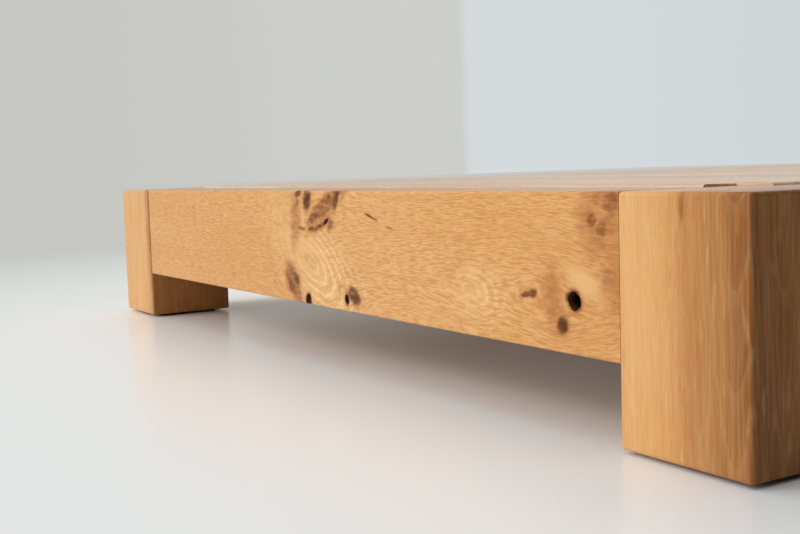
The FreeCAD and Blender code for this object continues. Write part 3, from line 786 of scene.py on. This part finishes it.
innerTimber = {"round": 0.003, "steps": 3, "ring": 0.0034, "bore": (0.0077, 0.042),
               "lengthwisePith": (0.05, 0.1), "uprightPith": (0.045, 0.02),
               "early": srgb(232, 204, 158), "late": srgb(205, 160, 106), "deep": srgb(190, 142, 92),
               "bow": 0.03, "taper": 0.012, "lateShow": 0.75, "driftShow": 0.3, "fibreShow": 0.25,
               "roughness": (0.2, 0.5), "bump": (0.0002, 0.3)}


def makeSoftwood(name, lengthAxis, pith):
    look = innerTimber
    material, tree = newMaterial(name)
    _, axes = restCoords(tree)
    along = axes[lengthAxis]
    across, into = (axes[i] for i in range(3) if i != lengthAxis)
    slow = grainNoise(tree, triple(tree, along, across, into), (1.5, 6, 6), 2.0)
    bent = scaled(tree, minus(tree, slow, 0.5), look["bow"], across)
    fromPith = hypotenuse(tree, minus(tree, bent, pith[0]), minus(tree, into, pith[1]))
    ring = calc(tree, "DIVIDE", scaled(tree, along, look["taper"], fromPith), look["ring"])
    saw = calc(tree, "FRACT", addUp(tree, ring, lineNoise(tree, product(tree, ring, 0.8))))
    wood = triple(tree, along, bent, into)
    fibre = grainNoise(tree, wood, (12, 400, 400), 3.0, 0.6)
    drift = grainNoise(tree, wood, (1.2, 12, 12), 2.0)
    late = span(tree, saw, 0.35, 0.95)
    colour = tint(tree, product(tree, late, look["lateShow"]), look["early"], look["late"])
    for noiseField, show in ((drift, look["driftShow"]), (fibre, look["fibreShow"])):
        colour = tint(tree, product(tree, span(tree, noiseField, 0.4, 0.7), show), colour, look["deep"])
    roughness = scaled(tree, fibre, *look["roughness"])
    finishShader(tree, colour, roughness, addUp(tree, fibre, product(tree, late, 0.5)), look["bump"])
    return material


def paintNode(name, material):
    cadNodes[name].material_slots[0].material = material


def boredPost(low, high):  # the bore takes the sleeve of the levelling foot
    radius, depth = innerTimber["bore"]
    mesh = blockMesh("centrePost", low, high, innerTimber["round"], innerTimber["steps"])
    bore = lathe("bore", [(0, low.z - depth), (radius, low.z - depth),
                          (radius, low.z + depth), (0, low.z + depth)])
    middle = (low + high) / 2
    bore.transform(Matrix.Translation((middle.x, middle.y, 0)))
    return carve(mesh, bore)


def makeInnerTimber():
    lengthwise = makeSoftwood("softwoodLengthwise", 1, innerTimber["lengthwisePith"])
    upright = makeSoftwood("softwoodUpright", 2, innerTimber["uprightPith"])
    for side in ("left", "right"):
        paintNode(side + "_ledger", lengthwise)
    mesh = blockMesh("centreBeam", *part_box("centre_beam"), innerTimber["round"], innerTimber["steps"])
    addPiece("centreBeam", mesh, "bed", "centre_beam", lengthwise)
    for end in ("foot", "head"):
        node = "centre_post_" + end
        addPiece("centrePost" + end.title(), boredPost(*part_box(node)), "bed", node, upright)


dowelLook = {"body": srgb(226, 192, 148), "deep": srgb(206, 165, 118), "line": srgb(184, 140, 98),
             "lineShow": 0.4, "roughness": (0.2, 0.5), "bump": (0.0002, 0.3)}


def makeDowelWood():
    material, tree = newMaterial("dowelWood")
    coords, _ = restCoords(tree)
    fibre = grainNoise(tree, coords, (260, 260, 420), 3.0, 0.6)
    cloud = grainNoise(tree, coords, (18, 18, 30), 2.0)
    colour = tint(tree, span(tree, cloud, 0.35, 0.7), dowelLook["body"], dowelLook["deep"])
    lines = product(tree, span(tree, fibre, 0.45, 0.75), dowelLook["lineShow"])
    colour = tint(tree, lines, colour, dowelLook["line"])
    finishShader(tree, colour, scaled(tree, fibre, *dowelLook["roughness"]), fibre, dowelLook["bump"])
    return material


makeInnerTimber()
paintNode("beam_dowels", makeDowelWood())
print("inner timber and dowels made")


# zinc-plated steel: sheet of the angles, hangers and plates, and turned fasteners

platingLook = {"crystalShow": 0.25, "cloudRough": 0.18, "crystalRough": 0.08, "bump": (0.00004, 0.3)}
sheetLook = {**platingLook, "bright": srgb(205, 207, 210), "dull": srgb(168, 171, 176),
             "roughness": 0.3, "cells": 160.0}
steelLook = {**platingLook, "bright": srgb(212, 213, 214), "dull": srgb(176, 178, 181),
             "roughness": 0.22, "cells": 420.0}


def makePlating(name, look):
    material, tree = newMaterial(name)
    coords, _ = restCoords(tree)
    cloud = grainNoise(tree, coords, (22, 22, 22), 3.0, 0.6)
    grit = grainNoise(tree, coords, (900, 900, 900), 2.0)
    crystal = addNode(tree, "ShaderNodeTexVoronoi")
    feedAll(tree, crystal, {"Vector": coords, "Scale": look["cells"]})
    split = addNode(tree, "ShaderNodeSeparateColor", crystal.outputs["Color"])
    colour = tint(tree, span(tree, cloud, 0.3, 0.7), look["bright"], look["dull"])
    colour = tint(tree, product(tree, split.outputs[0], look["crystalShow"]), colour, look["dull"])
    roughness = addUp(tree, product(tree, cloud, look["cloudRough"]),
                      product(tree, split.outputs[1], look["crystalRough"]), look["roughness"])
    finishShader(tree, colour, roughness, grit, look["bump"], {"Metallic": 1.0})
    return material


angleLook = {"steel": 0.005, "bend": 0.004, "corner": 0.008, "edge": 0.0006, "steps": 6, "edgeSteps": 2,
             "sharpFrom": 0.9}


def arc(centre, radius, fromTurn, toTurn, steps):
    turns = [math.radians(fromTurn + (toTurn - fromTurn) * index / steps) for index in range(steps + 1)]
    return [(centre[0] + radius * math.cos(turn), centre[1] + radius * math.sin(turn)) for turn in turns]


def angleMesh(node):
    low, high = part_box(node)
    end, side = node.split("_")[2:4]
    steel, steps = angleLook["steel"], angleLook["steps"]
    inner = steel + angleLook["bend"]
    reach = high - low
    outline = [(reach.x, 0), (reach.x, steel), *arc((inner, inner), angleLook["bend"], -90, -180, steps),
               (steel, reach.y), (0, reach.y), *arc((inner, inner), inner, -180, -90, steps)]
    places = [(low.x + x if side == "left" else high.x - x, low.y + y if end == "foot" else high.y - y)
              for x, y in outline]
    work = bmesh.new()
    rows = [[work.verts.new((x, y, z)) for x, y in places] for z in (low.z, high.z)]
    for row in rows:
        work.faces.new(row)
    for index in range(len(outline)):
        after = (index + 1) % len(outline)
        work.faces.new((rows[0][index], rows[0][after], rows[1][after], rows[1][index]))
    bmesh.ops.recalc_face_normals(work, faces=work.faces)
    tips = [edge for edge in work.edges if abs(edge.calc_length() - steel) < sameSpot]
    roundEdges(work, tips, angleLook["corner"], steps)
    work = work.copy()  # started afresh, so that the faces come in the same order in each run
    sharp = [edge for edge in work.edges if edge.calc_face_angle(0) > angleLook["sharpFrom"]]
    roundEdges(work, sharp, angleLook["edge"], angleLook["edgeSteps"])
    return meshFrom(work, node)


def makeSteelSheet():
    material = makePlating("platedSheet", sheetLook)
    for node in sorted(cadNodes):
        if node.startswith("corner_angle"):
            words = [word.title() for word in node.replace("_on_", "_").split("_")[2:-1]]
            addPiece("angle" + "".join(words), angleMesh(node), "bed", node, material)
        elif node.startswith(("centre_hanger", "post_plate")):
            paintNode(node, material)


makeSteelSheet()
print("angles, hangers and plates made")


# screws and nuts, each made once along its own axis and set where the frame has it

fastenerLook = {"sides": 32, "hexChamfer": 0.94, "hexSlope": 30, "hexRoom": 1.02, "overrun": 0.001,
                "coachFlats": 0.013, "coachHead": 0.0055, "coachShank": (0.004, 0.0024, 0.04),
                "panHead": (0.005, 0.0032), "panRimShare": 0.2, "panShank": (0.0025, 0.0015, 0.03),
                "sunkHead": (0.0055, 0.0036), "sunkRim": 0.0003, "sunkShank": (0.0028, 0.0017, 0.08),
                "recess": (0.0028, 0.0006, 0.0017), "recessShares": (0.55, 1.0, 1.05),
                "nutFlats": 0.017, "nutHeight": 0.006, "nutBore": 0.00535}


def hexBlock(flats, height, bothEnds=False):  # hexagon with its corners turned off
    look = fastenerLook
    reach = flats / math.sqrt(3)
    tip = flats / 2 * look["hexChamfer"]
    drop = (reach - tip) * math.tan(math.radians(look["hexSlope"]))
    work = bmesh.new()
    stackRings(work, [circle(reach, 0, 6), circle(reach, height, 6)])
    profile = [(0, 0), (tip, 0), (reach, drop)] if bothEnds else [(0, 0), (reach * look["hexRoom"], 0)]
    profile += [(reach, height - drop), (tip, height), (0, height)]
    return carve(meshFrom(work, "hexagon"), lathe("turned", profile, look["sides"]), "INTERSECT")


def crossRecess(top):
    half, slot, depth = fastenerLook["recess"]
    plus = []
    for turn in range(4):
        spin = Matrix.Rotation(math.radians(90 * turn), 2)
        plus += [spin @ Vector(corner) for corner in ((half, slot), (slot, slot), (slot, half))]
    work = bmesh.new()
    stackRings(work, [[Vector((point.x * share, point.y * share, top + z)) for point in plus]
                      for share, z in zip(fastenerLook["recessShares"], (-depth, 0.0, depth))])
    return meshFrom(work, "recess")


def shankProfile(shank):
    thick, thin, length = shank
    return [(0, -length), (thin, -length + 2 * thin), (thick, 0)]


def coachScrew():
    look = fastenerLook
    over = look["overrun"]
    profile = shankProfile(look["coachShank"]) + [(look["coachShank"][0], over), (0, over)]
    head = hexBlock(look["coachFlats"], look["coachHead"])
    return carve(head, lathe("shank", profile, look["sides"]), "UNION")


def panScrew():
    radius, height = fastenerLook["panHead"]
    rim = height * fastenerLook["panRimShare"]
    turns = [math.radians(turn) for turn in range(0, 90, 15)]
    dome = [(radius * math.cos(turn), rim + (height - rim) * math.sin(turn)) for turn in turns]
    profile = shankProfile(fastenerLook["panShank"]) + [(radius, 0)] + dome + [(0, height)]
    return carve(lathe("panHead", profile, fastenerLook["sides"]), crossRecess(height))


def sunkScrew():
    radius, depth = fastenerLook["sunkHead"]
    thick, thin, length = fastenerLook["sunkShank"]
    profile = [(0, -length), (thin, -length + 2 * thin), (thick, -depth), (radius, -fastenerLook["sunkRim"]),
               (radius, 0), (0, 0)]
    return carve(lathe("sunkHead", profile, fastenerLook["sides"]), crossRecess(0.0))


def jamNut():
    look = fastenerLook
    radius, over = look["nutBore"], look["overrun"]
    top = look["nutHeight"] + over
    bore = lathe("bore", [(0, -over), (radius, -over), (radius, top), (0, top)], look["sides"])
    return carve(hexBlock(look["nutFlats"], look["nutHeight"], True), bore)


def looseParts(node):  # corner points of each solid in a CAD group
    work = bmesh.new()
    work.from_mesh(cadNodes[node].data)
    bmesh.ops.remove_doubles(work, verts=work.verts, dist=weldWidth)
    waiting = set(work.verts)
    parts = []
    while waiting:
        part = set()
        queue = [min(waiting, key=lambda vertex: vertex.index)]
        while queue:
            vertex = queue.pop()
            if vertex not in part:
                part.add(vertex)
                queue += [edge.other_vert(vertex) for edge in vertex.link_edges]
        waiting -= part
        parts.append([vertex.co.copy() for vertex in part])
    work.free()
    return parts


def boxOf(points):
    return [Vector(pick(point[i] for point in points) for i in range(3)) for pick in (min, max)]


def screwPlace(points, headHeight):  # where the head seats, and a turn from +Z to the way it faces
    low, high = boxOf(points)
    axis = max(range(3), key=lambda i: high[i] - low[i])
    middle = (low + high) / 2
    offsets = [point - middle for point in points]
    flare = sum(math.copysign(offset.length - abs(offset[axis]), offset[axis]) for offset in offsets)
    facing = Vector((0, 0, 0))
    facing[axis] = 1.0 if flare > 0 else -1.0
    seat = middle + facing * ((high[axis] - low[axis]) / 2 - headHeight)
    return Matrix.Translation(seat) @ facing.to_track_quat("Z", "Y").to_matrix().to_4x4()


def placedCopies(name, template, places):
    work = bmesh.new()
    for place in places:
        start = len(work.verts)
        work.from_mesh(template)
        work.verts.ensure_lookup_table()
        bmesh.ops.transform(work, matrix=place, verts=work.verts[start:])
    return meshFrom(work, name)


def nutPlace(points):
    low, high = boxOf(points)
    return Matrix.Translation(((low.x + high.x) / 2, (low.y + high.y) / 2, low.z))


platedSteel = makePlating("platedSteel", steelLook)


def makeFasteners():
    groups = [("coachScrews", "coach_screws", coachScrew(), fastenerLook["coachHead"]),
              ("panScrews", "pan_screws", panScrew(), fastenerLook["panHead"][1]),
              ("ledgerScrews", "ledger_screws", sunkScrew(), 0.0)]
    for name, node, template, headHeight in groups:
        places = [screwPlace(points, headHeight) for points in looseParts(node)]
        addPiece(name, placedCopies(name, template, places), "bed", node, platedSteel)
    nuts = placedCopies("jamNuts", jamNut(), [nutPlace(points) for points in looseParts("jam_nuts")])
    addPiece("jamNuts", nuts, "bed", "jam_nuts", platedSteel)
    for node in ("post_studs", "foot_sleeves"):
        paintNode(node, platedSteel)


makeFasteners()
print("screws and nuts made")


# levelling feet: domed base, spanner collar and a rod with a real thread

footLook = {"sides": 64, "rim": 0.0006, "crown": 0.0135, "baseHeight": 0.008, "rimHeight": 0.004,
            "collarFlats": 0.017, "collarHeight": 0.006, "threadPitch": 0.0015, "threadDepth": 0.0009,
            "threadRadius": 0.005, "threadSides": 36, "stations": 6, "flankSlope": 2.6, "flankFrom": 0.3,
            "rodSunk": 0.001}


def threadedRod(low, high):
    look = footLook
    pitch, sides = look["threadPitch"], look["threadSides"]
    count = round((high - low) / pitch * look["stations"])
    rings = [[Vector((0, 0, low))]]
    for row in range(count + 1):
        height = low + (high - low) * row / count
        lead = min(1.0, (high - height) / (2 * pitch))
        ring = []
        for index in range(sides):
            phase = (height / pitch - index / sides) % 1.0
            flank = min(1.0, max(0.0, abs(phase - 0.5) * look["flankSlope"] - look["flankFrom"]))
            radius = look["threadRadius"] - look["threadDepth"] * max(flank, 1.0 - lead)
            turn = 2 * math.pi * index / sides
            ring.append(Vector((radius * math.cos(turn), radius * math.sin(turn), height)))
        rings.append(ring)
    rings.append([Vector((0, 0, high))])
    work = bmesh.new()
    stackRings(work, rings)
    return meshFrom(work, "rod")


def footMesh(low, high):
    look = footLook
    radius = (high.x - low.x) / 2
    base, top = low.z, low.z + look["baseHeight"]
    rim = base + look["rimHeight"]
    turns = [math.radians(turn) for turn in range(0, 100, 10)]
    dome = [(look["crown"] + (radius - look["crown"]) * math.cos(turn), rim + (top - rim) * math.sin(turn))
            for turn in turns]
    profile = [(0, base), (radius - look["rim"], base), (radius, base + look["rim"])] + dome + [(0, top)]
    work = bmesh.new()
    work.from_mesh(lathe("footBase", profile, look["sides"]))
    start = len(work.verts)
    work.from_mesh(hexBlock(look["collarFlats"], look["collarHeight"]))
    work.verts.ensure_lookup_table()
    bmesh.ops.translate(work, vec=(0, 0, top), verts=work.verts[start:])
    work.from_mesh(threadedRod(top + look["collarHeight"] - look["rodSunk"], high.z))
    middle = (low + high) / 2
    bmesh.ops.translate(work, vec=(middle.x, middle.y, 0), verts=work.verts)
    return meshFrom(work, "levellingFoot")


for end in ("foot", "head"):
    node = "levelling_foot_" + end
    mesh = footMesh(*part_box(node))
    addPiece("levellingFoot" + end.title(), mesh, end + "_end_foot", node, platedSteel)
print("levelling feet made")


# dense dark felt under the legs and the levelling feet

feltLook = {"corner": 0.012, "edge": 0.0011, "steps": 6, "dark": srgb(52, 44, 39), "light": srgb(84, 74, 66),
            "fibre": srgb(112, 101, 92), "fibreShow": 0.4, "roughness": (0.1, 0.88), "gloss": 0.15,
            "sheen": 0.25, "bump": (0.0005, 0.6)}


def makeFelt():
    material, tree = newMaterial("darkFelt")
    coords, _ = restCoords(tree)
    cloud = grainNoise(tree, coords, (60, 60, 60), 3.0, 0.6)
    fuzz = grainNoise(tree, coords, (1400, 500, 900), 3.0, 0.7)
    hair = span(tree, grainNoise(tree, coords, (300, 2200, 1300), 2.0), 0.6, 0.75)
    colour = tint(tree, span(tree, cloud, 0.3, 0.7), feltLook["dark"], feltLook["light"])
    colour = tint(tree, product(tree, hair, feltLook["fibreShow"]), colour, feltLook["fibre"])
    finishShader(tree, colour, scaled(tree, fuzz, *feltLook["roughness"]), fuzz, feltLook["bump"],
                 {"Specular IOR Level": feltLook["gloss"], "Sheen Weight": feltLook["sheen"]})
    return material


def feltMesh(name, outline, low, high):  # a flat pad with softly rounded edges
    edge = feltLook["edge"]
    middle = (low + high) / 2
    rings = []
    for degrees in range(-90, 100, 30):
        turn = math.radians(degrees)
        inset = edge * (1 - math.cos(turn))
        height = (low.z + edge if degrees < 0 else high.z - edge) + edge * math.sin(turn)
        inner = [[value - math.copysign(min(inset, abs(value)), value) for value in point]
                 for point in outline]
        rings.append([Vector((middle.x + x, middle.y + y, height)) for x, y in inner])
    work = bmesh.new()
    stackRings(work, rings)
    return meshFrom(work, name)


def makeFelts():
    material = makeFelt()
    for node in sorted(cadNodes):
        if not node.startswith(("pad_", "foot_felt")):
            continue
        low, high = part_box(node)
        half = (high.x - low.x) / 2
        isPad = node.startswith("pad_")
        flat = half - feltLook["corner"] if isPad else 0.0
        reach = feltLook["corner"] if isPad else half
        steps = feltLook["steps"] if isPad else 2 * feltLook["steps"]
        outline = []
        for quarter, (signX, signY) in enumerate(((1, 1), (-1, 1), (-1, -1), (1, -1))):
            points = arc((signX * flat, signY * flat), reach, 90 * quarter, 90 * quarter + 90, steps)
            outline += points if isPad else points[:-1]  # the quarters of a disc share their end points
        body = "bed" if isPad else node.split("_")[-1] + "_end_foot"
        words = "".join(word.title() for word in node.split("_"))
        addPiece("felt" + words, feltMesh(node, outline, low, high), body, node, material)


makeFelts()
print("felt made")
